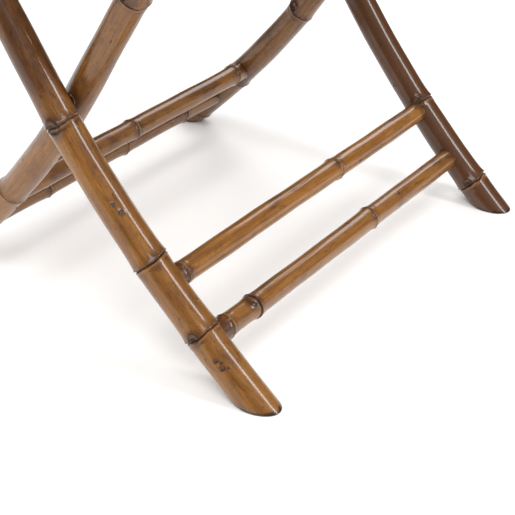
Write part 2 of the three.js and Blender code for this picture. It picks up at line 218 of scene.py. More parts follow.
class LegPath:
    """A leg's axis: straight above the pivot and bowed outwards below it. It is worked out
    from the top rail, the top pin and the foot of that leg."""

    def __init__(self, kind, side, above_rail):
        foot = FEET[f"foot_{kind}_{side}"]
        rail_low, rail_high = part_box(f"{kind}_top_rail")
        rail = (rail_low + rail_high) / 2
        pin_low, pin_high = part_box(f"{kind}_top_pin_{side}")
        self.x = (pin_low.x + pin_high.x) / 2
        self.toe_in = self.x - foot[0]
        self.direction = math.copysign(1, foot[1])
        self.rail_height = rail.z
        self.slope = abs(rail.y) / (rail.z - PIVOT_HEIGHT)
        self.bow = abs(foot[1]) / PIVOT_HEIGHT - self.slope
        self.z = np.linspace(-AXIS_BELOW_FLOOR, rail.z + 2 * above_rail, AXIS_POINTS)
        self.y = self.axis_y(self.z)
        steps = np.hypot(np.diff(self.z), np.diff(self.y))
        run = np.concatenate(([0.0], np.cumsum(steps)))
        self.s = run - np.interp(0.0, self.z, run)
        self.length = self.distance(rail.z + above_rail)

    def axis_y(self, z):
        """The axis's place along Y at height z."""
        drop = PIVOT_HEIGHT - z
        bow = np.where(drop > 0, self.bow * drop * drop / PIVOT_HEIGHT, 0.0)
        return self.direction * (self.slope * drop + bow)

    def axis_x(self, z):
        """The axis's place along X at height z: the foot stands in from its pivot."""
        fall = np.maximum(PIVOT_HEIGHT - z, 0.0) / PIVOT_HEIGHT
        return self.x - self.toe_in * fall ** TOE_IN_POWER

    def height(self, s):
        """The axis's height at a distance s up from the floor."""
        return np.interp(s, self.s, self.z)

    def distance(self, z):
        """How far up the axis, from the floor, height z is."""
        return float(np.interp(z, self.z, self.s))

    def lean(self, s):
        """Direction of the axis: its Y and Z parts."""
        z = self.height(s)
        drop = np.maximum(PIVOT_HEIGHT - z, 0.0)
        run = -self.direction * (self.slope + 2 * self.bow * drop / PIVOT_HEIGHT)
        size = np.hypot(run, 1.0)
        return run / size, 1.0 / size

    def foot_shear(self, s):
        """How far a point slides up the leg for each unit of y, so that its end is level."""
        lean_y, lean_z = self.lean(np.zeros(1))
        near = np.clip(1 - s / FOOT_REACH, 0, 1)
        near = near * near * (3 - 2 * near)
        return near * (lean_y[0] / lean_z[0])

    def place(self, x, y, s):
        """Points at x across and y square to the axis in the leg's plane, s up it."""
        z = self.height(s)
        lean_y, lean_z = self.lean(s)
        across = self.axis_x(z) + x
        return np.stack((across, self.axis_y(z) - lean_z * y, z + lean_y * y), axis=1)


# ----------------------------------------
# Bamboo poles
# ----------------------------------------

def turned(profile, segments):
    """A closed body turned about Z from points of radius and height, axis to axis."""
    bm = bmesh.new()
    verts = [bm.verts.new((radius, 0, height)) for radius, height in profile]
    edges = [bm.edges.new(pair) for pair in zip(verts, verts[1:])]
    bmesh.ops.spin(
        bm, geom=verts + edges, cent=(0, 0, 0), axis=(0, 0, 1), angle=2 * math.pi,
        steps=segments, use_merge=True,
    )
    bmesh.ops.remove_doubles(bm, verts=bm.verts, dist=1e-7)
    bmesh.ops.recalc_face_normals(bm, faces=bm.faces)
    return bm


def to_object(name, bm, smooth_angle=math.radians(40)):
    """A finished mesh object at the origin, shaded smooth but for its sharp edges."""
    mesh = bpy.data.meshes.new(name)
    for face in bm.faces:
        face.smooth = True
    bm.edges.ensure_lookup_table()
    for edge in bm.edges:
        edge.smooth = len(edge.link_faces) != 2 or edge.calc_face_angle(0) < smooth_angle
    bm.to_mesh(mesh)
    bm.free()
    piece = bpy.data.objects.new(name, mesh)
    bpy.context.scene.collection.objects.link(piece)
    return piece


def vertex_places(mesh):
    """The places of a mesh's vertices, one row each."""
    places = np.zeros(len(mesh.vertices) * 3)
    mesh.vertices.foreach_get("co", places)
    return places.reshape(-1, 3)


def quarter_turn(steps):
    """Angles from 0 to a right angle in equal steps."""
    return [math.radians(90 * step / steps) for step in range(steps + 1)]


# Cross-sections of a pole: the usual step between them, the least step, the extra ones about
# a growth ring, which are closest at its groove, and those about a scar, in its radii.
STATION_STEP = 9 * MM
LEAST_STEP = 0.3 * MM
RING_STATIONS = MM * np.concatenate((
    np.arange(-26, -15, 3.5), np.arange(-15, -3, 1.1), np.arange(-3.0, 3.01, 0.5),
    np.arange(4, 16, 1.1), np.arange(18, 27, 3.5),
))
SCAR_STATIONS = np.linspace(-1.4, 1.4, 13)

# The distances that stand for no ring and no scar: in metres, and in scar radii.
FAR_FROM_RING = 50 * MM
FAR_FROM_SCAR = 6.0

# The hollow in a cut end: its depth, the rounding at its bottom and the bevel at its mouth.
BORE_DEPTH = 5 * MM
BORE_FILLET = 0.6 * MM
BORE_BEVEL = 0.4 * MM

# How far the dark edge of a cut end reaches up a leg and along a thinner pole.
LEG_CUT_REACH = 3.5 * MM
POLE_CUT_REACH = 2.2 * MM


def stations(length, rings, scars=()):
    """Distances along a pole, close together where a growth ring or a scar needs it."""
    marks = [np.arange(0.0, length, STATION_STEP)]
    marks += [ring + RING_STATIONS for ring in rings]
    marks += [place + SCAR_STATIONS * size for place, _, size in scars]
    spaced = []
    for s in np.unique(np.round(np.concatenate(marks), 6)):
        if 0 < s < length and (not spaced or s - spaced[-1] > LEAST_STEP):
            spaced.append(s)
    return spaced


def pole_profile(length, radius, rings, scars, bamboo):
    """Radius and height of a pole: a hollow cut end, the outside, and another cut end."""
    edge = min(bamboo.edge, radius / 3)
    bore = radius - min(bamboo.wall, radius / 2)
    depth = min(radius / 2, BORE_DEPTH)
    start = [
        (0, depth), (bore / 2, depth), (bore - BORE_FILLET, depth), (bore, depth - BORE_FILLET),
        (bore, BORE_BEVEL), (bore + BORE_BEVEL, 0),
    ]
    start += [
        (radius - edge + edge * math.sin(turn), edge - edge * math.cos(turn))
        for turn in quarter_turn(4)
    ]
    end = [(r, length - s) for r, s in reversed(start)]
    places = stations(length, [place for place, _ in rings], scars)
    middle = [(radius, s) for s in places if edge < s < length - edge]
    return start + middle + end


# Across a growth ring, in millimetres past its groove: where each lip stands, how wide it is,
# and its height as a share of the lip setting. The flare runs up to the groove.
RING_LIPS = ((-1.5, 0.9, 1.0), (2.4, 1.3, 1.3), (6.5, 3.2, 0.7))
GROOVE_WIDTH = 0.75
FLARE_REACH = 8.5 * MM
FLARE_CURVE = 1.3
# How far each side of a ring its bend out of square and its lighter side reach.
BEND_REACH = 14
SIDE_REACH = 12
# Slow swellings: their lengths in metres, their height, and a pole's share out of round.
SWELL_LENGTHS = (0.31, 0.17, 0.09)
SWELL_HEIGHT = 0.16 * MM
OUT_OF_ROUND = 0.01


def ridge(gap, centre, width):
    """A smooth ridge of height 1 across a pole; its centre and width are in millimetres."""
    return np.exp(-((gap - centre * MM) / (width * MM)) ** 2)


def ring_relief(gap, bamboo):
    """Height of the surface at a signed distance past a growth ring's groove."""
    flare = np.where(gap <= 0, np.exp(-(np.abs(gap) / FLARE_REACH) ** FLARE_CURVE), 0)
    lips = sum(height * ridge(gap, centre, width) for centre, width, height in RING_LIPS)
    groove = ridge(gap, 0, GROOVE_WIDTH)
    return bamboo.flare * flare + bamboo.lip * lips - bamboo.groove * groove


def grow_rings(s, angle, rings, bulk, rng):
    """What the growth rings do at each point of a pole: the height that they add, how far
    they bend out of square, the distance from the nearest groove and the side of it."""
    bamboo = bpy.context.scene.tray_table_bamboo
    relief = np.zeros(len(s))
    slide = np.zeros(len(s))
    nearest = np.full(len(s), FAR_FROM_RING)
    ring_side = np.zeros(len(s))
    for place, facing in rings:
        gap = (s - place) * facing
        tilt = rng.uniform(0, 2 * math.pi)
        wave = MM * (1.5 * np.cos(angle - tilt) + 0.8 * np.sin(2 * angle + tilt)
                     + 0.4 * np.sin(5 * angle + 2 * tilt) + 0.2 * np.sin(11 * angle + tilt))
        faintness = rng.uniform(0, 0.8 * MM)
        slide += wave * ridge(gap, 0, BEND_REACH)
        relief += bulk * ring_relief(gap, bamboo) * rng.uniform(0.85, 1.1)
        nearest = np.minimum(nearest, np.abs(gap) + faintness)
        beside_groove = np.minimum(np.abs(gap) / (3 * MM), 1)
        ring_side += np.sign(gap) * beside_groove * ridge(gap, 0, SIDE_REACH)
    return relief, slide, nearest, ring_side


def grow_scars(s, angle, outer, scars):
    """The height that branch scars add at each point of a pole, with the shallow channel
    along it that starts at each, and how many scar radii away the nearest one is."""
    bamboo = bpy.context.scene.tray_table_bamboo
    relief = np.zeros(len(s))
    nearest = np.full(len(s), FAR_FROM_SCAR)
    for place, turn, size in scars:
        around = np.arctan2(np.sin(angle - turn), np.cos(angle - turn)) * outer
        reach = np.hypot(around, s - place) / size
        rim = np.exp(-((reach - 1.0) / 0.28) ** 2)
        hollow = np.exp(-(reach / 0.6) ** 2)
        stub = np.exp(-(reach / 0.25) ** 2)
        channel = ridge(around, 0, 4) * np.exp(-np.abs(s - place) / (45 * MM))
        relief += bamboo.scar * (rim - 1.2 * hollow + 0.5 * stub) - 0.35 * MM * channel
        nearest = np.minimum(nearest, reach)
    return relief, nearest


def swellings(s, angle, outer, bulk, rng):
    """Slow swellings along a pole, and how far it is out of round."""
    swell = np.zeros(len(s))
    for wave_length in SWELL_LENGTHS:
        phase = rng.uniform(0, 2 * math.pi, 2)
        sway = np.cos(angle + phase[1])
        swell += SWELL_HEIGHT * np.sin(2 * math.pi * s / wave_length + phase[0] + sway)
    lobes = rng.uniform(0, 2 * math.pi)
    return bulk * swell + OUT_OF_ROUND * outer * np.cos(2 * angle + lobes + 4 * s)


def shape_pole(piece, path, radius_at, rings, scars, stain, rng, worn=None):
    """Gives a straight turned pole its bamboo relief, bends it along its path and stores
    the values that its material reads.

    rings: (distance along the pole, +1 or -1 for the side that flares).
    scars: (distance along the pole, angle round it, radius).
    stain and shade: how dark the stain and the painted shade are at a distance along the pole
    and an angle round it.
    worn: for a leg, how much of its relief is worn off there. A leg's foot is cut level.
    """
    bamboo = bpy.context.scene.tray_table_bamboo
    mesh = piece.data
    x, y, s = vertex_places(mesh).T
    from_axis = np.hypot(x, y)
    angle = np.arctan2(y, x)
    outer = float(from_axis.max())
    skin = (from_axis / outer) ** 3
    bulk = min(1.0, (outer / bamboo.full_relief) ** 2)

    relief, slide, ring_gap, ring_side = grow_rings(s, angle, rings, bulk, rng)
    scar_relief, scar_reach = grow_scars(s, angle, outer, scars)
    relief = relief + scar_relief + swellings(s, angle, outer, bulk, rng)
    if worn:
        relief *= 1 - worn(s, angle)

    taper = radius_at(s) / outer
    grown = np.where(from_axis < 1e-9, 0, from_axis * taper + skin * relief)
    grown_x, grown_y = grown * np.cos(angle), grown * np.sin(angle)
    along = s + slide * skin
    if worn:
        along = along - path.foot_shear(s) * grown_y
    placed = path.place(grown_x, grown_y, along)
    if worn:
        placed[:, 2] = np.maximum(placed[:, 2], 0.0)
    mesh.vertices.foreach_set("co", placed.ravel())

    grain = np.stack((x * taper, y * taper, s), axis=1)
    cut_reach = LEG_CUT_REACH if worn else POLE_CUT_REACH
    store(
        mesh, culm=grain + rng.uniform(0, 9, 3), ring=ring_gap, flare=ring_side,
        scar=scar_reach, stain=stain(s, angle),
        cut=cut_ends(from_axis / outer, s, path.length, cut_reach),
    )


def cut_ends(share, s, length, reach):
    """1 on a pole's cut ends and inside its bore, 0 on its skin. Share is how far out a
    point stands, from 0 on the axis to 1 on the skin."""
    end = np.minimum(s, length - s)
    inside = (share < 0.93) & (end < 12 * MM)
    return np.where(inside, 1.0, np.clip(1.5 - end / reach, 0, 1))


def store(mesh, **values_by_name):
    """Keeps values or vectors at each vertex for the material to read."""
    for name, values in values_by_name.items():
        kind, field = ("FLOAT", "value") if values.ndim == 1 else ("FLOAT_VECTOR", "vector")
        attribute = mesh.attributes.new(name, kind, "POINT")
        attribute.data.foreach_set(field, values.astype(np.float32).ravel())
    mesh.update()


def finish_piece(piece, node, look):
    """Gives a made piece its material and puts it in its CAD node's place."""
    piece.data.materials.append(own_material(look))
    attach(piece, body_of(node))
    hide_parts(node)


# ----------------------------------------
# Materials
# ----------------------------------------

class Nodes:
    """Short calls for building one material's nodes."""

    def __init__(self, name):
        self.material = bpy.data.materials.new(name)
        self.material.use_nodes = True
        self.tree = self.material.node_tree
        self.shader = self.tree.nodes["Principled BSDF"]

    def fill(self, node, values):
        """Links or sets a node's inputs."""
        for name, value in values.items():
            if isinstance(value, bpy.types.NodeSocket):
                self.tree.links.new(value, node.inputs[name])
            else:
                node.inputs[name].default_value = value

    def add(self, kind, output, values, **options):
        """One output of a new node, from its own options and its inputs' values."""
        node = self.tree.nodes.new(f"ShaderNode{kind}")
        for name, value in options.items():
            setattr(node, name, value)
        self.fill(node, values)
        return node.outputs[output]

    def attribute(self, name, output="Fac"):
        """A value that the mesh carries."""
        return self.add("Attribute", output, {}, attribute_name=name)

    def place(self):
        """The piece's own place in the table."""
        return self.add("TexCoord", "Object", {})

    def stretch(self, vector, scale, shift=(0, 0, 0)):
        """A place scaled along each axis."""
        return self.add("Mapping", "Vector", {"Vector": vector, "Scale": scale, "Location": shift})

    def noise(self, vector, scale, detail, roughness, distortion=0.0):
        """Noise from 0 to 1."""
        values = {"Vector": vector, "Scale": scale, "Detail": detail, "Roughness": roughness}
        return self.add("TexNoise", "Fac", {**values, "Distortion": distortion})

    def ramp(self, value, low, high, to_low=0.0, to_high=1.0, smooth=True):
        """A value mapped from one range to another, held at both ends."""
        values = {"Value": value, "From Min": low, "From Max": high}
        values.update({"To Min": to_low, "To Max": to_high})
        curve = "SMOOTHSTEP" if smooth else "LINEAR"
        return self.add("MapRange", "Result", values, interpolation_type=curve)

    def math(self, operation, a, b, clamp=False):
        """One sum of two values."""
        return self.add("Math", "Value", {0: a, 1: b}, operation=operation, use_clamp=clamp)

    def mix(self, share, a, b):
        """A colour between a and b."""
        a, b = (c if isinstance(c, bpy.types.NodeSocket) else (*c, 1.0) for c in (a, b))
        return self.add("Mix", "Result", {"Factor": share, "A": a, "B": b}, data_type="RGBA")

    def bump(self, height, distance, strength):
        """A normal bent by a height."""
        values = {"Height": height, "Distance": distance, "Strength": strength}
        return self.add("Bump", "Normal", values)

    def finish(self, colour, roughness, normal, metallic=0.0, coat=0.0, coat_roughness=0.1):
        """Fills in the material's shader."""
        self.fill(self.shader, {
            "Base Color": colour, "Roughness": roughness, "Normal": normal,
            "Metallic": metallic, "Coat Weight": coat, "Coat Roughness": coat_roughness,
            "Specular IOR Level": 0.3,
        })
        return self.material


def lacquered_bamboo(name, coat, coat_roughness, darkness):
    """Bamboo with mottled stain and painted shade where parts meet, lengthwise fibres, dark growth
    rings and branch scars, and a painted highlight on each ring's lip, under clear lacquer."""
    finish = bpy.context.scene.tray_table_finish
    n = Nodes(name)
    culm = n.attribute("culm", "Vector")
    ring, scar, flare, stain, cut = (
        n.attribute(name) for name in ("ring", "scar", "flare", "stain", "cut")
    )

    def grain(along, scale, detail, roughness, distortion=0.0, shift=(0, 0, 0)):
        """Noise drawn out along the pole."""
        return n.noise(n.stretch(culm, (1, 1, along), shift), scale, detail, roughness, distortion)

    fibres = grain(0.022, 1400, 3, 0.6)
    bands = grain(0.05, 150, 3, 0.55)
    patches = grain(0.45, 34, 5, 0.62, 0.6)
    clouds = grain(0.6, 95, 5, 0.7, shift=(5, 7, 1))
    streaks = grain(0.12, 330, 2, 0.5, shift=(3, 1, 2))
    speckle = grain(0.6, 800, 2, 0.6, shift=(2, 4, 6))
    pores = grain(0.35, 1500, 2, 0.6, shift=(4, 4, 9))
    blots = grain(0.7, 150, 2, 0.4, 0.8, shift=(8, 2, 4))

    # The bamboo itself, light in bands, with darker fibres.
    light = n.mix(n.ramp(bands, 0.34, 0.66), finish.amber[:], finish.honey[:])
    light = n.mix(n.ramp(fibres, 0.34, 0.62, 0.42, 0.0), light, finish.umber[:])

    # The stain with its painted shade, darker in patches, near growth rings and round scars.
    near_ring = n.ramp(ring, 0.0, 0.014, 0.5, 0.0)
    near_ring = n.math("MULTIPLY", near_ring, n.ramp(clouds, 0.34, 0.62, 0.25, 1.3))
    darker = stain
    for shade in (
        n.ramp(patches, 0.46, 0.74, 0.0, 0.52), n.ramp(clouds, 0.50, 0.74, 0.0, 0.45),
        n.ramp(bands, 0.52, 0.70, 0.0, 0.16), n.ramp(pores, 0.50, 0.70, 0.0, 0.35),
        near_ring, n.ramp(scar, 1.0, 2.4, 0.55, 0.0),
    ):
        darker = n.math("ADD", darker, shade)
    darker = n.math("MULTIPLY", darker, darkness, clamp=True)
    skin = n.mix(darker, light, finish.umber[:])

    # Dark streaks, blots and specks, and a painted highlight on the lip beside a groove.
    streak = n.ramp(streaks, 0.64, 0.72, 0.0, 0.5)
    blot = n.ramp(blots, 0.71, 0.75, 0.0, 0.8)
    speck = n.ramp(speckle, 0.62, 0.71, 0.0, 0.6)
    beside_groove = n.ramp(ring, 0.002, 0.007, 1.0, 0.0)
    # Painted highlight: the lip beside a groove is mixed towards honey.
    lip = n.math("MULTIPLY", n.ramp(flare, 0.35, 0.8, 0.0, 0.35), beside_groove)
    skin = n.mix(streak, skin, finish.umber[:])
    skin = n.mix(n.math("MAXIMUM", blot, speck), skin, finish.char[:])
    skin = n.mix(lip, skin, finish.honey[:])

    # Black in the grooves, in and round the scars and on the cut ends, with ragged edges.
    ragged = n.math("ADD", ring, n.ramp(clouds, 0.3, 0.7, -0.0007, 0.0009, smooth=False))
    ragged = n.math("ADD", ragged, n.ramp(speckle, 0.3, 0.7, -0.0003, 0.0003, smooth=False))
    broken = n.ramp(clouds, 0.35, 0.6, 0.5, 0.95)
    groove = n.math("MULTIPLY", n.ramp(ragged, 0.0004, 0.0020, 1.0, 0.0), broken)
    torn = n.math("ADD", scar, n.ramp(clouds, 0.3, 0.7, -0.22, 0.22, smooth=False))
    scar_edge = n.math("MULTIPLY", n.ramp(torn, 0.64, 0.84), n.ramp(torn, 1.0, 1.25, 1.0, 0.0))
    scar_heart = n.ramp(torn, 0.15, 0.75, 0.85, 0.0)
    scar_heart = n.math("MULTIPLY", scar_heart, n.ramp(speckle, 0.35, 0.62, 1.0, 0.35))
    black = n.math("MAXIMUM", groove, n.math("MULTIPLY", scar_edge, 0.6))
    black = n.math("MAXIMUM", black, scar_heart)
    edge = n.math("ADD", cut, n.ramp(clouds, 0.3, 0.7, -0.3, 0.3, smooth=False))
    colour = n.mix(black, skin, finish.char[:])
    colour = n.mix(n.ramp(edge, 0.35, 0.75, 0.0, 0.86), colour, finish.char[:])

    # Duller in the black, and uneven where the stain has sunk in.
    rough = n.ramp(fibres, 0.3, 0.7, 0.34, 0.5)
    rough = n.math("ADD", rough, n.math("MULTIPLY", black, 0.3), clamp=True)
    relief = n.math("ADD", n.math("MULTIPLY", fibres, 0.35), n.math("MULTIPLY", bands, 0.7))
    relief = n.math("ADD", relief, clouds)
    for hollow, depth in ((streak, 0.4), (blot, 0.8), (speck, 0.3), (scar_heart, 1.2)):
        relief = n.math("SUBTRACT", relief, n.math("MULTIPLY", hollow, depth))
    normal = n.bump(relief, 0.0005, 0.75)
    return n.finish(colour, rough, normal, coat=coat, coat_roughness=coat_roughness)


def bronze_plate():
    """Dark bronze plating, worn brighter in fine turning marks."""
    finish = bpy.context.scene.tray_table_finish
    n = Nodes("bronze_plate")
    place = n.place()
    wear = n.noise(place, 900, 4, 0.6)
    scratches = n.noise(n.stretch(place, (1, 6, 6)), 700, 2, 0.5)
    worn = [min(1.0, c * 2.2) for c in finish.bronze]
    colour = n.mix(n.ramp(wear, 0.5, 0.72), finish.bronze[:], worn)
    rough = n.ramp(scratches, 0.3, 0.7, 0.25, 0.5)
    return n.finish(colour, rough, n.bump(scratches, 0.00008, 0.5), metallic=1.0)


def bearer_wood():
    """Dark bamboo laid up in strips along Y, with faint growth marks across each strip."""
    finish = bpy.context.scene.tray_table_finish
    n = Nodes("bearer_wood")
    place = n.place()
    strips = n.noise(n.stretch(place, (1, 0.004, 1)), 240, 1, 0.3)
    fibres = n.noise(n.stretch(place, (1, 0.03, 1)), 1300, 3, 0.6)
    marks = n.noise(n.stretch(place, (0.4, 1, 0.4), (2, 1, 3)), 90, 2, 0.4)
    clouds = n.noise(place, 45, 4, 0.6)
    colour = n.mix(n.ramp(strips, 0.35, 0.65), finish.umber[:], finish.amber[:])
    colour = n.mix(n.ramp(fibres, 0.35, 0.65, 0.5, 0.0), colour, finish.char[:])
    colour = n.mix(n.ramp(marks, 0.68, 0.72, 0.0, 0.6), colour, finish.char[:])
    colour = n.mix(n.ramp(clouds, 0.45, 0.75, 0.0, 0.5), colour, finish.umber[:])
    rough = n.ramp(fibres, 0.3, 0.7, 0.35, 0.55)
    return n.finish(colour, rough, n.bump(fibres, 0.0002, 0.5), coat=0.4, coat_roughness=0.2)


def peg_wood():
    """Dark end grain of a bamboo peg."""
    finish = bpy.context.scene.tray_table_finish
    n = Nodes("peg_wood")
    place = n.place()
    pores = n.noise(place, 2600, 3, 0.6)
    patches = n.noise(place, 300, 3, 0.5)
    colour = n.mix(n.ramp(pores, 0.42, 0.6), finish.char[:], finish.umber[:])
    colour = n.mix(n.ramp(patches, 0.5, 0.75, 0.0, 0.4), colour, finish.amber[:])
    rough = n.ramp(pores, 0.3, 0.7, 0.45, 0.65)
    return n.finish(colour, rough, n.bump(pores, 0.0001, 0.6), coat=0.3)


def plain_floor():
    """An even pale floor."""
    floor = bpy.context.scene.tray_table_stage.floor
    n = Nodes("plain_floor")
    tone = n.noise(n.place(), 3, 2, 0.4)
    shade = [c * 0.985 for c in floor]
    return n.finish(n.mix(tone, floor[:], shade), 0.75, n.bump(tone, 0.0001, 0.1))


def glossy_poles():
    """Bamboo of the stand, rim and handle bars, under glossy lacquer."""
    return lacquered_bamboo("glossy_poles", 0.7, 0.13, 1.0)


def satin_slats():
    """Split bamboo of the deck, under satin lacquer."""
    return lacquered_bamboo("satin_slats", 0.5, 0.18, 0.7)


def dark_posts():
    """Bamboo of the posts, stained darker."""
    return lacquered_bamboo("dark_posts", 0.7, 0.1, 1.6)


def own_material(make):
    """The material that a function makes, made the first time that it is asked for."""
    return bpy.data.materials.get(make.__name__) or make()


# ----------------------------------------
# Where the growth rings, branch scars and stain fall
# ----------------------------------------

# Legs: rings are heights above the pivot in millimetres and the side that flares. Scars are
# a ring's number, the angle round the leg in degrees from +X, and the offset along the leg
# from that ring and the radius, in millimetres. Stain, with painted shade, is its level below
# the pivot, how much it varies round the leg, the darker side in degrees, and its level above
# the pivot; on the outer left leg the darker side and the darker top are painted shade.
LEG_GROWTH = {
    "outer_left": {
        "rings": [(-220, -1), (-152, -1), (-14, -1), (166, -1)],
        "scars": [(0, 165, 2, 6), (2, 171, -1, 8.5), (3, 20, 5, 6), (1, 330, 5, 5),
                  (0, 150, -33, 2.2), (0, 138, -38, 1.7), (0, 147, -44, 2.6), (0, 129, -47, 1.4),
                  (0, 70, 34, 1.5), (1, 118, 62, 2.4), (1, 128, 74, 1.8)],
        # The darker side and the darker top above the pivot are painted shade.
        "stain": (0.12, 0.08, 60, 0.7),
    },
    "outer_right": {
        "rings": [(-258, -1), (-167, -1), (-18, -1), (150, -1)],
        "scars": [(0, 160, 3, 5.5), (1, 148, 1, 8.5), (2, 30, 6, 6), (1, 200, 40, 2),
                  (0, 150, 45, 2.2), (0, 175, 60, 1.6)],
        "stain": (0.95, 0.05, 0, 0.8),
    },
    "inner_left": {
        "rings": [(-248, -1), (-161, -1), (-43, -1), (132, -1)],
        "scars": [(1, 20, 6, 6), (3, 190, 6, 6)],
        "stain": (0.08, 0.08, 0, 0.4),
    },
    "inner_right": {
        "rings": [(-262, -1), (-188, -1), (-60, -1), (118, -1)],
        "scars": [(0, 30, 6, 5), (2, 200, 6, 6)],
        "stain": (0.4, 0.05, 0, 0.4),
    },
}

# Straight poles: rings are places along X or Y in millimetres and the side that flares.
# Scars are as above. Then comes the level of the stain.
POLE_GROWTH = {
    "outer_upper_stretcher": (
        [(-250, 1), (56, 1)],
        [(0, 150, 3, 3.5), (1, 235, -3, 3), (1, 110, 192, 1.5)],
        0.04,
    ),
    "outer_lower_stretcher": (
        [(-238, 1), (-190, -1), (57, 1)],
        [(1, 118, -6, 5.5), (2, 120, 60, 1.6)],
        0.24,
    ),
    "outer_top_rail": ([(-120, 1), (130, 1)], [(1, 40, 4, 4)], 0.1),
    "inner_upper_stretcher": ([(-14, 1), (205, 1)], [(1, 60, 4, 3.5)], 0.34),
    "inner_lower_stretcher": ([(-132, 1), (21, 1), (149, 1)], [(2, 120, 4, 3.5)], 0.36),
    "inner_top_rail": ([(-95, 1), (110, 1)], [(0, 80, 4, 4)], 0.12),
    "tray_rim_front": ([(-170, 1), (40, 1), (235, 1)], [(1, 60, 3.5, 3.4)], 0.05),
    "tray_rim_back": ([(-215, 1), (-30, 1), (160, 1)], [(2, 120, 3.5, 3.4)], 0.1),
    "tray_rim_left": ([(-95, 1), (120, 1)], [(0, 100, 3.5, 3)], 0.08),
    "tray_rim_right": ([(-120, 1), (85, 1)], [(1, 100, 3.5, 3)], 0.12),
    "handle_bar_left": ([(12, 1)], [], 0.15),
    "handle_bar_right": ([(-18, 1)], [], 0.1),
}
# The handle posts aren't listed: they are too short for a ring.
PLAIN_GROWTH = ([], [], 0.25)

# Stain and painted shade gather where the parts meet: at a leg's joints and pivot and at a
# straight pole's ends. On a leg the stain's level changes over a length at the pivot.
JOINT_SHADE_AND_STAIN = 0.7
JOINT_SHADE_AND_STAIN_REACH = 17 * MM
PIVOT_SHADE_AND_STAIN_REACH = 24 * MM
END_SHADE_AND_STAIN = 0.8
END_SHADE_AND_STAIN_REACH = 6 * MM
STAIN_CHANGE = 60 * MM
# The legs have rubbed each other flat about the pivot: how far along them, and how fully.
# Above 1, a band of each leg is worn flat, and not only the line where they face.
WORN_REACH = 85 * MM
WORN_FULLNESS = 1.6
# Faces round a leg.
LEG_SEGMENTS = 80


def body_of(node):
    """The body that a CAD node belongs to."""
    return frame["nodes"][node]["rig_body"]


def seed_of(node):
    """A fixed random source for each node."""
    return np.random.default_rng(sorted(frame["nodes"]).index(node) + 11)


def place_scars(rings, scars):
    """Scars as distance along the pole, angle and radius, from the rings that they are by."""
    return [
        (rings[ring][0] + offset * MM, math.radians(turn), size * MM)
        for ring, turn, offset, size in scars
    ]


def make_leg(kind, side):
    """One leg, from its level foot to its cut top."""
    stand = bpy.context.scene.tray_table_stand
    bamboo = bpy.context.scene.tray_table_bamboo
    node = f"{kind}_leg_{side}"
    growth = LEG_GROWTH[f"{kind}_{side}"]
    path = LegPath(kind, side, stand.above_rail)
    pivot = path.distance(PIVOT_HEIGHT)
    foot_radius = getattr(stand, f"{kind}_foot")
    top_radius = getattr(stand, f"{kind}_top")
    joints = [
        path.distance(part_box(f"{kind}_{rail}")[0].z + stand.stretcher)
        for rail in ("upper_stretcher", "lower_stretcher", "top_rail")
    ]
    inward = math.pi if side == "right" else 0.0
    pivot_face = inward if kind == "outer" else math.pi - inward
    level, spread, darker_side, level_above = growth["stain"]

    def radius_at(s):
        share = np.clip(path.height(s) / path.rail_height, 0, 1.1)
        return foot_radius + (top_radius - foot_radius) * share

    def stain(s, angle):
        # Stain level below and above the pivot, and a darker side; on the outer left leg the darker
        # side and top are painted shade.
        above = np.clip((s - pivot) / STAIN_CHANGE + 0.5, 0, 1)
        shade = level + (level_above - level) * above
        shade = shade + spread * np.cos(angle - math.radians(darker_side))
        for joint in joints:
            # Painted shade, with stain, where a rail joins the leg's inner face.
            near = np.exp(-((s - joint) / JOINT_SHADE_AND_STAIN_REACH) ** 2)
            shade = shade + JOINT_SHADE_AND_STAIN * near * np.maximum(np.cos(angle - inward), 0) ** 2
        # Painted shade, with stain, between the crossed legs at the pivot.
        near = np.exp(-((s - pivot) / PIVOT_SHADE_AND_STAIN_REACH) ** 2)
        return shade + JOINT_SHADE_AND_STAIN * near * np.maximum(np.cos(angle - pivot_face), 0) ** 2

    def worn(s, angle):
        near = np.exp(-((s - pivot) / WORN_REACH) ** 2)
        return near * np.clip(WORN_FULLNESS * np.cos(angle - pivot_face), 0, 1)

    rings = [(path.distance(PIVOT_HEIGHT + z * MM), facing) for z, facing in growth["rings"]]
    scars = place_scars(rings, growth["scars"])
    profile = pole_profile(path.length, foot_radius, rings, scars, bamboo)
    piece = to_object(f"bamboo_{node}", turned(profile, LEG_SEGMENTS))
    shape_pole(piece, path, radius_at, rings, scars, stain, seed_of(node), worn)
    finish_piece(piece, node, glossy_poles)


def pole_axis(node):
    """Start and end of a straight pole's axis, from its CAD box."""
    low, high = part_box(node)
    middle = (low + high) / 2
    size = high - low
    main = max(range(3), key=lambda axis: size[axis])
    start, end = middle.copy(), middle.copy()
    start[main] = low[main]
    end[main] = high[main]
    return start, end, main


def make_straight_pole(node, radius, segments=64, look=glossy_poles, buried=0.0):
    """One straight pole along its CAD node's longest side. Buried is how much of each end
    is hidden in what it joins."""
    bamboo = bpy.context.scene.tray_table_bamboo
    ring_places, scar_places, level = POLE_GROWTH.get(node, PLAIN_GROWTH)
    start, end, main = pole_axis(node)
    path = StraightPath(start, end)

    def radius_at(s):
        return np.full(len(s), radius)

    def stain(s, angle):
        # Painted shade, with stain, where the pole comes out of what it joins.
        past_joint = np.minimum(s, path.length - s) - buried
        return level + END_SHADE_AND_STAIN * np.exp(-(past_joint / END_SHADE_AND_STAIN_REACH) ** 2)

    rings = [(place * MM - start[main], facing) for place, facing in ring_places]
    scars = place_scars(rings, scar_places)
    profile = pole_profile(path.length, radius, rings, scars, bamboo)
    piece = to_object(f"bamboo_{node}", turned(profile, segments))
    shape_pole(piece, path, radius_at, rings, scars, stain, seed_of(node))
    finish_piece(piece, node, look)


# ----------------------------------------
# Deck
# ----------------------------------------

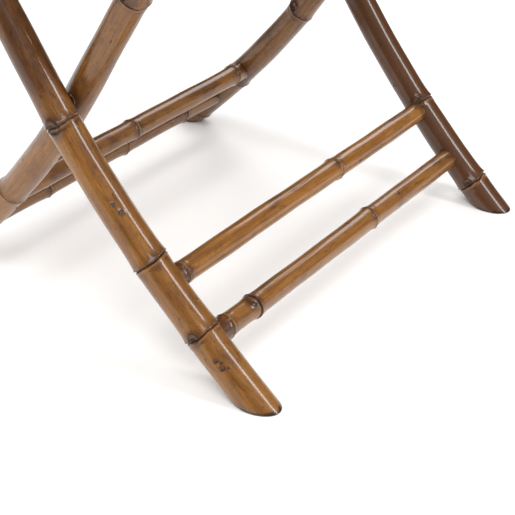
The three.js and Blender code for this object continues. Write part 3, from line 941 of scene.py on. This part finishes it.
# A slat's ends are tucked in over a short length.
SLAT_END = 0.8 * MM
SLAT_TUCK = 0.7 * MM
# Ranges in metres for a slat's first growth ring, the step between rings, a shift of them
# all, and how near the far end the last may come.
SLAT_FIRST_RING = (0.04, 0.20)
SLAT_RING_STEP = (0.19, 0.25)
SLAT_RING_SHIFT = (-0.01, 0.01)
SLAT_LAST_RING = 0.03
# The nails stand either side of a bearer's middle line, at a share of a slat's half width.
NAIL_STAGGER = 2 * MM
NAIL_SPREAD = 0.45
NAIL_FLATNESS = 0.35
NAIL_SUNK = 0.1 * MM


def slat_places(length, rings):
    """Distances along a slat, close together at its ends and its growth rings."""
    inner = [s for s in stations(length, rings) if 2 * SLAT_END < s < length - 2 * SLAT_END]
    return [0.0, SLAT_END] + inner + [length - SLAT_END, length]


def slat_bar(half_width, thickness, deck, places):
    """A slat along X: flat below, round-edged and crowned on top."""
    edge = deck.slat_edge
    inset = half_width - edge
    side_top = thickness - deck.slat_crown - edge
    turns = quarter_turn(3)
    low = [(inset + edge * math.sin(turn), edge - edge * math.cos(turn)) for turn in turns]
    high = [(inset + edge * math.cos(turn), side_top + edge * math.sin(turn)) for turn in turns]
    across = np.linspace(inset, 0, 7)[1:]
    top = [(y, thickness - deck.slat_crown * (y / half_width) ** 2) for y in across]
    right = low + high + top
    outline = right + [(-y, z) for y, z in reversed(right[:-1])]
    bm = bmesh.new()
    face = bm.faces.new([bm.verts.new((places[0], y, z)) for y, z in outline])
    for before, after in zip(places, places[1:]):
        grown = bmesh.ops.extrude_face_region(bm, geom=[face])["geom"]
        verts = [g for g in grown if isinstance(g, bmesh.types.BMVert)]
        face = next(g for g in grown if isinstance(g, bmesh.types.BMFace))
        bmesh.ops.translate(bm, verts=verts, vec=(after - before, 0, 0))
    bmesh.ops.recalc_face_normals(bm, faces=bm.faces)
    return bm


def mark_slat(s, y, rings, rng):
    """What the growth rings do at each point of a slat: the height of their marks, the
    distance from the nearest one and the side of it."""
    deck = bpy.context.scene.tray_table_deck
    ridges = np.zeros(len(s))
    nearest = np.full(len(s), FAR_FROM_RING)
    ring_side = np.zeros(len(s))
    for ring in rings:
        lean = rng.uniform(-0.05, 0.05)
        facing = rng.choice((-1, 1))
        ragged = 0.6 * MM * np.sin(y / (5 * MM) + lean * 90)
        gap = (s - ring - lean * y - ragged) * facing
        ridges += deck.slat_ridge * (ridge(gap, -3, 3.4) - 1.4 * ridge(gap, 0, 0.8))
        nearest = np.minimum(nearest, np.abs(gap))
        ring_side += np.sign(gap) * ridge(np.abs(gap), 4, 4)
    return ridges, nearest, ring_side


def make_slat(number):
    """One split-bamboo slat, with the marks of its growth rings across it."""
    deck = bpy.context.scene.tray_table_deck
    node = f"tray_slat_{number:02d}"
    rng = seed_of(node)
    low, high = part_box(node)
    length, half_width, thickness = high.x - low.x, (high.y - low.y) / 2, high.z - low.z
    centre = (low.y + high.y) / 2
    first = rng.uniform(*SLAT_FIRST_RING)
    rings = np.arange(first, length - SLAT_LAST_RING, rng.uniform(*SLAT_RING_STEP))
    rings = rings + rng.uniform(*SLAT_RING_SHIFT)
    bar = slat_bar(half_width, thickness, deck, slat_places(length, rings))
    piece = to_object(f"deck_slat_{number:02d}", bar)

    mesh = piece.data
    s, y, z = vertex_places(mesh).T
    skin = np.clip(z / thickness, 0, 1) ** 2
    ridges, ring_gap, ring_side = mark_slat(s, y, rings, rng)
    phase = rng.uniform(0, 2 * math.pi, 2)
    sway = 0.35 * MM * np.sin(2 * math.pi * s / 0.29 + phase[0])
    waves = 0.12 * MM * np.sin(s / 0.035 + phase[1])
    end = np.minimum(s, length - s)
    tuck = SLAT_TUCK * np.clip(1 - end / SLAT_END, 0, 1)
    z = z + skin * (ridges + waves - deck.slat_ridge)
    y = y * (1 - tuck / half_width) + sway * (1 - np.abs(y) / half_width * 0.5)
    z = np.where(z > thickness / 2, z - tuck, z + tuck)
    placed = np.stack((low.x + s, centre + y, low.z + z), axis=1)
    mesh.vertices.foreach_set("co", placed.ravel())

    store(
        mesh, culm=np.stack((y, z, s), axis=1) + rng.uniform(0, 9, 3), ring=ring_gap,
        flare=ring_side, scar=np.full(len(s), FAR_FROM_SCAR),
        # Darker towards a slat's underside.
        stain=rng.uniform(-0.12, 0.22) + 0.25 * (1 - skin),
        cut=np.clip(1 - end / (1.2 * MM), 0, 0.7),
    )
    finish_piece(piece, node, satin_slats)


def make_nails():
    """Small domed nail heads that hold each slat to both bearers."""
    deck = bpy.context.scene.tray_table_deck
    flat = Matrix.Diagonal((1, 1, NAIL_FLATNESS, 1))
    bm = bmesh.new()
    for number in range(1, deck.slats + 1):
        low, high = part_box(f"tray_slat_{number:02d}")
        centre, half_width = (low.y + high.y) / 2, (high.y - low.y) / 2
        for side in SIDES:
            bearer_low, bearer_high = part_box(f"tray_bearer_{side}")
            x = (bearer_low.x + bearer_high.x) / 2
            for turn in (-1, 1):
                y = turn * half_width * NAIL_SPREAD
                top = high.z - deck.slat_ridge - deck.slat_crown * (y / half_width) ** 2
                spot = (x + turn * NAIL_STAGGER, centre + y, top - NAIL_SUNK)
                bmesh.ops.create_uvsphere(
                    bm, u_segments=16, v_segments=8, radius=deck.nail,
                    matrix=Matrix.Translation(spot) @ flat,
                )
    piece = to_object("deck_nails", bm)
    piece.data.materials.append(own_material(bronze_plate))
    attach(piece, body_of("tray_slat_01"))


def softened_copy(node, edge):
    """A node's own shape, with its flat faces joined and its sharp edges rounded."""
    bm = bmesh.new()
    bm.from_mesh(frame["nodes"][node].data)
    bmesh.ops.remove_doubles(bm, verts=bm.verts, dist=1e-6)
    bmesh.ops.dissolve_limit(bm, angle_limit=math.radians(1), verts=bm.verts, edges=bm.edges)
    sharp = [e for e in bm.edges if e.calc_face_angle(0) > math.radians(30)]
    bmesh.ops.bevel(
        bm, geom=sharp, offset=edge, offset_type="OFFSET", segments=3, profile=0.5,
        affect="EDGES", material=-1,
    )
    bmesh.ops.recalc_face_normals(bm, faces=bm.faces)
    return bm


# Rounding of a bearer's edges.
BEARER_EDGE = 1.4 * MM


def make_bearer(side):
    """One bearer under the deck, with a lug outside each top rail."""
    node = f"tray_bearer_{side}"
    piece = to_object(f"deck_bearer_{side}", softened_copy(node, BEARER_EDGE))
    finish_piece(piece, node, bearer_wood)


# ----------------------------------------
# Pivots and pegs
# ----------------------------------------

def stand_along(bm, start, along):
    """Turns a shape made up Z to lie along a direction from a start."""
    turn = Vector((0, 0, 1)).rotation_difference(along).to_matrix().to_4x4()
    bmesh.ops.transform(bm, verts=bm.verts, matrix=Matrix.Translation(start) @ turn)


# A bolt's head is domed, bevelled below and has a socket, and its shank tapers at the tip.
# The chamfer round the socket is a width and a depth.
DOME_WIDTH = 2.3 * MM
DOME_HEIGHT = 3.6 * MM
HEAD_BEVEL = 0.3 * MM
SHANK_LEAD = 1 * MM
SOCKET_CHAMFER = (0.5 * MM, 0.3 * MM)
SOCKET_DEPTH = 2.4 * MM
BOLT_CLEARANCE = 0.3 * MM


def bolt_body(length, pivot):
    """A bolt up Z from its domed head, open where its socket goes."""
    head, shank = pivot.head_radius, pivot.shank_radius
    profile = [(pivot.socket + SOCKET_CHAMFER[0], 0)]
    profile += [
        (head - DOME_WIDTH + DOME_WIDTH * math.sin(turn), DOME_HEIGHT * (1 - math.cos(turn)))
        for turn in quarter_turn(6)
    ]
    profile += [
        (head, pivot.head_height - HEAD_BEVEL), (head - HEAD_BEVEL, pivot.head_height),
        (shank, pivot.head_height), (shank, length - SHANK_LEAD),
        (shank - SHANK_LEAD, length), (0, length),
    ]
    return turned(profile, 48)


def make_bolt(side):
    """A pivot bolt with a domed head and a hexagonal socket."""
    node = f"pivot_bolt_{side}"
    pivot = bpy.context.scene.tray_table_pivot
    low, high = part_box(node)
    bm = bolt_body(high.x - low.x, pivot)
    rim = [e for e in bm.edges if e.is_boundary]
    ring = bmesh.ops.create_circle(bm, segments=6, radius=pivot.socket)["verts"]
    bmesh.ops.translate(bm, verts=ring, vec=(0, 0, SOCKET_CHAMFER[1]))
    hexagon = [e for e in bm.edges if e.is_wire]
    bmesh.ops.bridge_loops(bm, edges=rim + hexagon)
    deep = bmesh.ops.extrude_edge_only(bm, edges=hexagon)["geom"]
    bottom = [g for g in deep if isinstance(g, bmesh.types.BMVert)]
    bmesh.ops.translate(bm, verts=bottom, vec=(0, 0, SOCKET_DEPTH))
    floor_edges = [g for g in deep if isinstance(g, bmesh.types.BMEdge)]
    bmesh.ops.holes_fill(bm, edges=floor_edges, sides=6)
    bmesh.ops.recalc_face_normals(bm, faces=bm.faces)
    outward = SIDES[side]
    head_end = low.x if outward > 0 else high.x
    stand_along(bm, (head_end, (low.y + high.y) / 2, PIVOT_HEIGHT), Vector((outward, 0, 0)))
    piece = to_object(f"bolt_{side}", bm)
    finish_piece(piece, node, bronze_plate)


def make_washer(kind, side):
    """A washer with rolled edges, round a pivot bolt."""
    node = f"pivot_{kind}_{side}"
    pivot = bpy.context.scene.tray_table_pivot
    low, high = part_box(node)
    thick = high.x - low.x
    bore, outer = pivot.shank_radius + BOLT_CLEARANCE, (high.z - low.z) / 2
    roll = thick * 0.3
    outline = [
        (bore + roll, 0), (outer - roll, 0), (outer, roll), (outer, thick - roll),
        (outer - roll, thick), (bore + roll, thick), (bore, thick - roll), (bore, roll),
    ]
    bm = turned(outline + outline[:1], 48)
    stand_along(bm, (low.x, (low.y + high.y) / 2, PIVOT_HEIGHT), Vector((1, 0, 0)))
    piece = to_object(f"{kind}_{side}", bm)
    finish_piece(piece, node, bronze_plate)


def make_peg(node):
    """A round-ended bamboo peg along its own hole."""
    points = vertex_places(frame["nodes"][node].data)
    centre = (points.min(axis=0) + points.max(axis=0)) / 2
    along = np.linalg.svd(points - points.mean(axis=0))[2][0]
    run = (points - centre) @ along
    length = run.max() - run.min()
    radius = np.linalg.norm((points - centre) - np.outer(run, along), axis=1).max()
    dome = radius * 0.45
    cap = [(radius * math.sin(turn), dome * (1 - math.cos(turn))) for turn in quarter_turn(3)]
    profile = cap + [(radius, length * 0.5)] + [(r, length - z) for r, z in reversed(cap)]
    bm = turned(profile, 24)
    stand_along(bm, Vector(centre + along * run.min()), Vector(along))
    piece = to_object(f"peg_{node}", bm)
    finish_piece(piece, node, peg_wood)


def dress(node, look):
    """Gives a CAD node that stays a material of its own."""
    for holder in frame["nodes"][node].material_slots:
        holder.material = own_material(look)


# ----------------------------------------
# Stage
# ----------------------------------------

FLOOR_HALF_SIZE = 12
# Where each light stands, where it faces, its width and height in metres, its power in
# watts, and whether it is mirrored in the lacquer.
LIGHTS = {
    "key_light": ((-1.4, -0.9, 2.5), (0.0, 0.0, 0.3), (1.5, 1.5), 38, True),
    "side_strip": ((0.5, -2.3, 1.5), (0.0, 0.0, 0.2), (0.55, 1.6), 36, True),
    "top_light": ((1.8, 0.5, 2.0), (0.0, 0.0, 0.2), (1.3, 1.3), 26, True),
    "fill_light": ((-1.0, 2.3, 1.7), (0.0, 0.0, 0.3), (2.0, 1.4), 16, False),
}


def make_floor():
    """A flat floor, which isn't part of the table."""
    bm = bmesh.new()
    bmesh.ops.create_grid(bm, x_segments=1, y_segments=1, size=FLOOR_HALF_SIZE)
    floor = to_object("floor", bm)
    floor.data.materials.append(own_material(plain_floor))


def area_light(name, place, target, size, power, mirrored):
    """A soft rectangular light that faces its target."""
    light = bpy.data.lights.new(name, "AREA")
    light.shape = "RECTANGLE"
    light.size, light.size_y = size
    light.energy = power
    lamp = bpy.data.objects.new(name, light)
    lamp.location = place
    lamp.rotation_euler = (Vector(target) - Vector(place)).to_track_quat("-Z", "Y").to_euler()
    lamp.visible_glossy = mirrored
    bpy.context.scene.collection.objects.link(lamp)


def set_world(strength):
    """An even white surrounding, which lights the pieces but isn't mirrored in them."""
    world = bpy.data.worlds.new("studio")
    world.use_nodes = True
    background = world.node_tree.nodes["Background"]
    background.inputs["Color"].default_value = (1, 1, 1, 1)
    background.inputs["Strength"].default_value = strength
    bpy.context.scene.world = world
    world.cycles_visibility.glossy = False


def set_camera(stage):
    """The camera, at its place, heading and tilt."""
    data = bpy.data.cameras.new("camera")
    data.sensor_width = 36
    data.lens = stage.lens
    camera = bpy.data.objects.new("camera", data)
    heading, tilt = stage.camera_heading, stage.camera_tilt
    look = Vector((
        math.cos(heading) * math.cos(tilt), math.sin(heading) * math.cos(tilt), -math.sin(tilt),
    ))
    turn = look.to_track_quat("-Z", "Y").to_matrix().to_4x4()
    camera.matrix_world = Matrix.Translation(stage.camera_place) @ turn
    bpy.context.scene.collection.objects.link(camera)
    bpy.context.scene.camera = camera


# ----------------------------------------
# Operators
# ----------------------------------------

# How much of each end of a pole is hidden in what it joins: the stain and painted shade are
# darkest where it comes out. Below 0, that place is well past the pole's end, so a free end isn't
# darker.
STRETCHER_BURIED = 23 * MM
END_RIM_BURIED = 10 * MM
POST_BURIED = 6 * MM
CLEAN_END = -30 * MM


class MakeLegs(bpy.types.Operator):
    """Makes the four bowed bamboo legs"""

    bl_idname = "tray_table.legs"
    bl_label = "Legs"

    def execute(self, context):
        for kind in ("outer", "inner"):
            for side in SIDES:
                make_leg(kind, side)
        return {"FINISHED"}


class MakeStretchers(bpy.types.Operator):
    """Makes the four stretchers and two top rails between the legs"""

    bl_idname = "tray_table.stretchers"
    bl_label = "Stretchers and Top Rails"

    def execute(self, context):
        stand = context.scene.tray_table_stand
        radii = {
            "upper_stretcher": stand.stretcher,
            "lower_stretcher": stand.stretcher,
            "top_rail": stand.top_rail,
        }
        for kind in ("outer", "inner"):
            for rail, radius in radii.items():
                make_straight_pole(f"{kind}_{rail}", radius, buried=STRETCHER_BURIED)
        return {"FINISHED"}


class MakeRim(bpy.types.Operator):
    """Makes the four bamboo poles of the tray's rim"""

    bl_idname = "tray_table.rim"
    bl_label = "Tray Rim"

    def execute(self, context):
        radius = context.scene.tray_table_stand.rim
        for end in ("front", "back"):
            make_straight_pole(f"tray_rim_{end}", radius, 56, buried=CLEAN_END)
        for end in ("left", "right"):
            make_straight_pole(f"tray_rim_{end}", radius, 56, buried=END_RIM_BURIED)
        return {"FINISHED"}


class MakeHandles(bpy.types.Operator):
    """Makes the tray's two handle bars and their posts"""

    bl_idname = "tray_table.handles"
    bl_label = "Handles"

    def execute(self, context):
        stand = context.scene.tray_table_stand
        for side in SIDES:
            make_straight_pole(f"handle_bar_{side}", stand.handle, 56, buried=CLEAN_END)
            for end in ("front", "back"):
                post = f"handle_post_{side}_{end}"
                make_straight_pole(post, stand.post, 40, dark_posts, buried=POST_BURIED)
        return {"FINISHED"}


class MakeDeck(bpy.types.Operator):
    """Makes the tray's slats, their nails and the two bearers"""

    bl_idname = "tray_table.deck"
    bl_label = "Deck"

    def execute(self, context):
        for number in range(1, context.scene.tray_table_deck.slats + 1):
            make_slat(number)
        make_nails()
        for side in SIDES:
            make_bearer(side)
        return {"FINISHED"}


class MakePivots(bpy.types.Operator):
    """Makes the pivot bolts, their washers and the spacers between the legs"""

    bl_idname = "tray_table.pivots"
    bl_label = "Pivots"

    def execute(self, context):
        for side in SIDES:
            make_bolt(side)
            make_washer("washer", side)
            make_washer("spacer", side)
        return {"FINISHED"}


class MakePegs(bpy.types.Operator):
    """Makes the pegs through the rails' tenons"""

    bl_idname = "tray_table.pegs"
    bl_label = "Pegs"

    def execute(self, context):
        for kind in ("outer", "inner"):
            for place in ("upper", "lower", "top"):
                for side in SIDES:
                    make_peg(f"{kind}_{place}_pin_{side}")
        return {"FINISHED"}


class DressFittings(bpy.types.Operator):
    """Gives the threaded inserts and the rim's dowels their materials"""

    bl_idname = "tray_table.fittings"
    bl_label = "Inserts and Dowels"

    def execute(self, context):
        for side in SIDES:
            dress(f"pivot_insert_{side}", bronze_plate)
            for end in ("front", "back"):
                dress(f"rim_dowel_{side}_{end}", peg_wood)
        return {"FINISHED"}


class MakeStage(bpy.types.Operator):
    """Makes the floor, the lights and the camera"""

    bl_idname = "tray_table.stage"
    bl_label = "Stage"

    def execute(self, context):
        stage = context.scene.tray_table_stage
        make_floor()
        for name, values in LIGHTS.items():
            area_light(name, *values)
        set_world(stage.surroundings)
        set_camera(stage)
        context.scene.view_settings.view_transform = "Standard"
        return {"FINISHED"}


class TrayTablePanel(bpy.types.Panel):
    """Lists the table's pieces in the sidebar"""

    bl_idname = "VIEW3D_PT_tray_table"
    bl_label = "Tray Table"
    bl_space_type = "VIEW_3D"
    bl_region_type = "UI"
    bl_category = "Tray Table"

    def draw(self, context):
        for operator in OPERATORS:
            self.layout.operator(operator.bl_idname)


OPERATORS = (
    MakeLegs, MakeStretchers, MakePegs, MakePivots, MakeDeck, MakeRim, MakeHandles,
    DressFittings, MakeStage,
)
SETTINGS = {
    "tray_table_stand": StandSettings,
    "tray_table_bamboo": BambooSettings,
    "tray_table_finish": FinishSettings,
    "tray_table_deck": DeckSettings,
    "tray_table_pivot": PivotSettings,
    "tray_table_stage": StageSettings,
}


def register():
    """Registers the settings, the operators and the panel."""
    for name, settings in SETTINGS.items():
        bpy.utils.register_class(settings)
        setattr(bpy.types.Scene, name, bpy.props.PointerProperty(type=settings))
    for operator in OPERATORS:
        bpy.utils.register_class(operator)
    bpy.utils.register_class(TrayTablePanel)


def unregister():
    """Removes everything that register added."""
    bpy.utils.unregister_class(TrayTablePanel)
    for operator in reversed(OPERATORS):
        bpy.utils.unregister_class(operator)
    for name, settings in SETTINGS.items():
        delattr(bpy.types.Scene, name)
        bpy.utils.unregister_class(settings)


def main():
    """Makes every piece in order."""
    register()
    bpy.ops.tray_table.legs()
    bpy.ops.tray_table.stretchers()
    bpy.ops.tray_table.pegs()
    bpy.ops.tray_table.pivots()
    bpy.ops.tray_table.deck()
    bpy.ops.tray_table.rim()
    bpy.ops.tray_table.handles()
    bpy.ops.tray_table.fittings()
    bpy.ops.tray_table.stage()
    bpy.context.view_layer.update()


if __name__ == "__main__":
    main()
